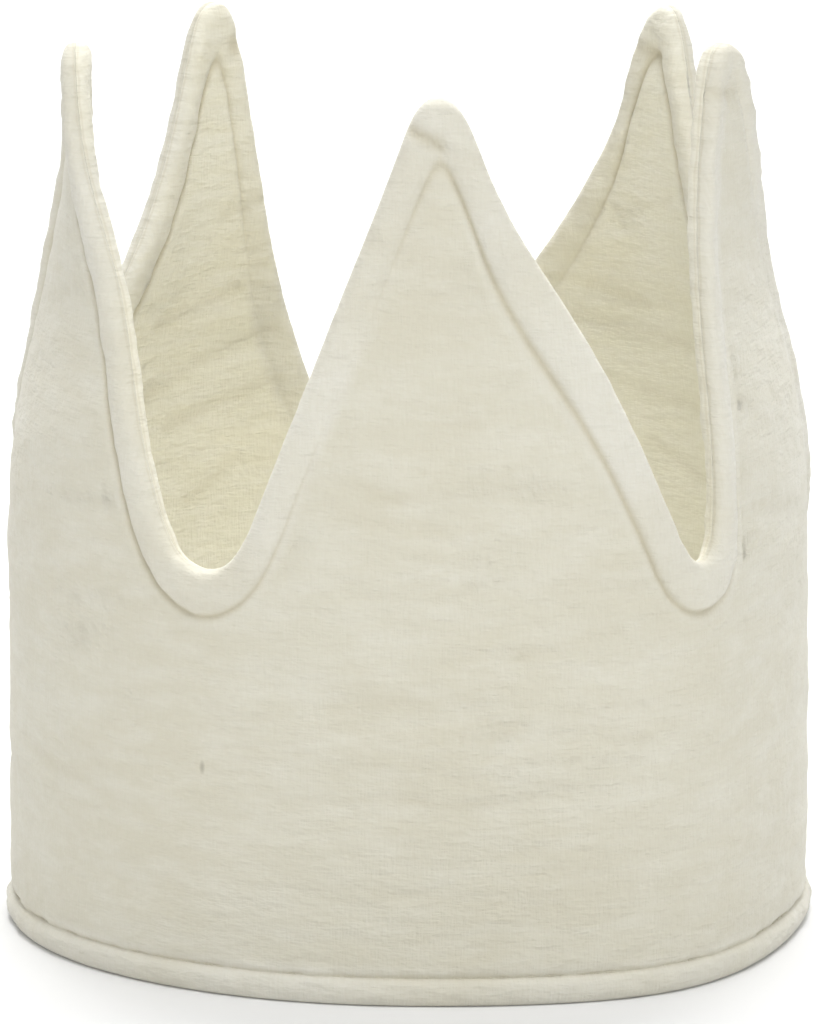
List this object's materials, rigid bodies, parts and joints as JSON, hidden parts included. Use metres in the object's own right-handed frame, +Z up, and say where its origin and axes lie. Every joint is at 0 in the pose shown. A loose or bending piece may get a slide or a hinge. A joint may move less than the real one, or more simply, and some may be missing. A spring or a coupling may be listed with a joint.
{
  "type": "padded fabric crown",
  "caption": "Soft dress-up crown: a sewn gauze ring with tall padded points, a raised rim seam and a rolled hem, to be worn on a small child's head.",
  "frame": {"origin": "on the floor under the middle of the ring, where its axis meets the plane that the hem stands on", "axes": "+Z up along the ring's axis, -Y towards the front point, +X towards the wearer's left"},
  "size_m": [0.1716, 0.1713, 0.1914],
  "materials": {
    "outer_gauze": "undyed crinkled cotton double gauze, matte",
    "lining_gauze": "the same cotton gauze as lining, matte",
    "felt": "stiff white felt, hidden in the wall",
    "thread": "cream sewing thread, matte"
  },
  "bodies": {
    "root": {"outer_panel": "outer_gauze", "lining_panel": "lining_gauze", "felt_core": "felt", "hem_thread": "thread"}
  },
  "joints": []
}
